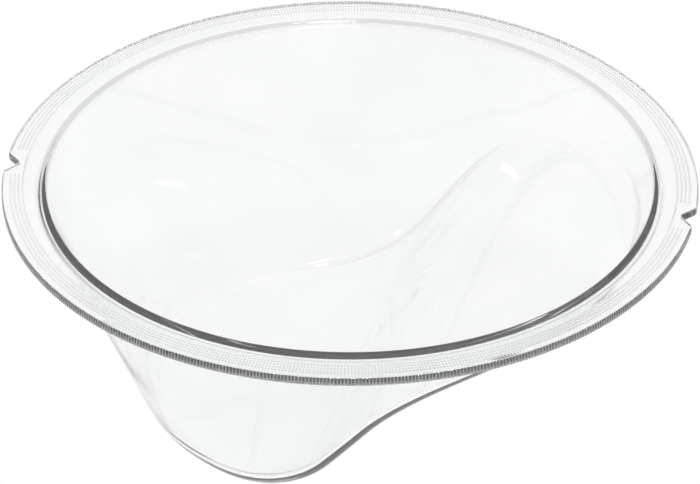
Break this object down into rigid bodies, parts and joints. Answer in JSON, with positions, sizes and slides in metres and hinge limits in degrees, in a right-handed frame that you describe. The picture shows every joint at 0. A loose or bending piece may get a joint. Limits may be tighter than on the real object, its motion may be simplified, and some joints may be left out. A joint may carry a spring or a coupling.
{
  "type": "washing machine door glass",
  "caption": "Pressed clear-glass bowl for a porthole door: flat notched flange, conical wall and a two-level floor whose deep side keeps laundry clear of the door.",
  "frame": {"origin": "on the flange's axis, level with the underside of the deep floor", "axes": "+Z along the flange's axis, out of the mouth; +X towards the shallow shelf, along the bowl's mirror plane"},
  "size_m": [0.3699, 0.37, 0.132],
  "materials": {
    "clear_glass": "clear pressed soda-lime glass, fire polished, with a dotted flange face and a fluted rim"
  },
  "bodies": {
    "root": {"door_glass": "clear_glass"}
  },
  "joints": []
}
